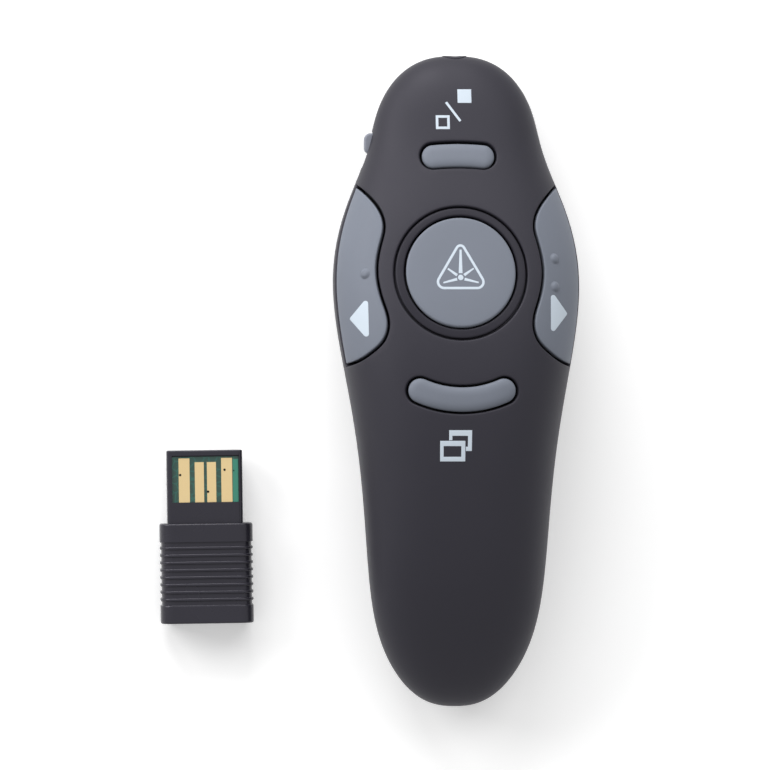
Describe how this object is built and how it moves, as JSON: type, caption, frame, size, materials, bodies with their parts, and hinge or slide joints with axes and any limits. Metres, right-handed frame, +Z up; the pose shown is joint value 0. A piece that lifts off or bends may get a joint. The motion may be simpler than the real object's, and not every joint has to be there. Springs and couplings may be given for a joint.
{
  "type": "wireless presentation clicker",
  "caption": "Dark grey handheld presentation clicker with pale grey slide, laser and screen keys, a power slider on its side and a small USB receiver lying beside it.",
  "frame": {"origin": "centre of the flat rest face under the battery door", "axes": "+X to the clicker's right as held, +Y towards its head where the laser comes out, +Z up from the rest face"},
  "size_m": [0.0687, 0.107, 0.0261],
  "materials": {
    "shell_plastic": "soft-touch satin",
    "key_plastic": "satin",
    "trim_plastic": "satin",
    "inner_plastic": "moulded",
    "receiver_plastic": "fine matt",
    "circuit_board": "solder mask",
    "chip_plastic": "moulded epoxy",
    "gold_contact": "gold plated",
    "steel": "nickel plated",
    "cell_jacket": "shrink film",
    "laser_brass": "turned",
    "clear_lens": "clear"
  },
  "bodies": {
    "case": {"top_shell": "shell_plastic", "bottom_shell": "shell_plastic", "laser_key_ring": "trim_plastic", "case_screws": "steel", "main_board": "circuit_board", "rear_board": "circuit_board", "radio_chip": "chip_plastic", "clock_crystal": "steel", "battery_bay": "inner_plastic", "left_cell": "cell_jacket", "right_cell": "cell_jacket", "contact_plates": "steel", "contact_springs": "steel", "laser_barrel": "laser_brass", "laser_lens": "clear_lens", "laser_diode": "steel", "laser_bezel": "trim_plastic", "power_switch": "inner_plastic", "laser_switch": "inner_plastic", "blank_screen_switch": "inner_plastic", "window_switch": "inner_plastic", "previous_switch": "inner_plastic", "next_switch": "inner_plastic"},
    "battery_door": {"battery_door": "shell_plastic"},
    "power_knob": {"power_knob": "key_plastic"},
    "receiver": {"receiver_grip": "receiver_plastic", "receiver_plug_frame": "receiver_plastic", "receiver_board": "circuit_board", "receiver_contacts": "gold_contact", "receiver_chip": "chip_plastic"},
    "laser_key": {"laser_key": "key_plastic", "laser_plunger": "inner_plastic"},
    "blank_screen_key": {"blank_screen_key": "key_plastic", "blank_screen_plunger": "inner_plastic"},
    "window_key": {"window_key": "key_plastic", "window_plunger": "inner_plastic"},
    "previous_key": {"previous_key": "key_plastic", "previous_plunger": "inner_plastic"},
    "next_key": {"next_key": "key_plastic", "next_plunger": "inner_plastic"}
  },
  "joints": [
    {"name": "laser_press", "type": "slide", "parent": "case", "child": "laser_key", "axis": [0, 0, -1], "range_m": [0, 0.00035], "stiffness_N_per_m": 900, "springref_m": -0.0006},
    {"name": "blank_screen_press", "type": "slide", "parent": "case", "child": "blank_screen_key", "axis": [0, 0, -1], "range_m": [0, 0.00035], "stiffness_N_per_m": 900, "springref_m": -0.0006},
    {"name": "window_press", "type": "slide", "parent": "case", "child": "window_key", "axis": [0, 0, -1], "range_m": [0, 0.00035], "stiffness_N_per_m": 900, "springref_m": -0.0006},
    {"name": "previous_press", "type": "slide", "parent": "case", "child": "previous_key", "axis": [0, 0, -1], "range_m": [0, 0.00035], "stiffness_N_per_m": 900, "springref_m": -0.0006},
    {"name": "next_press", "type": "slide", "parent": "case", "child": "next_key", "axis": [0, 0, -1], "range_m": [0, 0.00035], "stiffness_N_per_m": 900, "springref_m": -0.0006},
    {"name": "power_slide", "type": "slide", "parent": "case", "child": "power_knob", "axis": [0, 1, 0], "range_m": [-0.002, 0]},
    {"name": "battery_door_slide", "type": "slide", "parent": "case", "child": "battery_door", "axis": [0, -1, 0], "range_m": [0, 0.006]},
    {"name": "receiver_lift", "type": "slide", "parent": "case", "child": "receiver", "axis": [0, 0, 1], "range_m": [0, 0.04]}
  ]
}
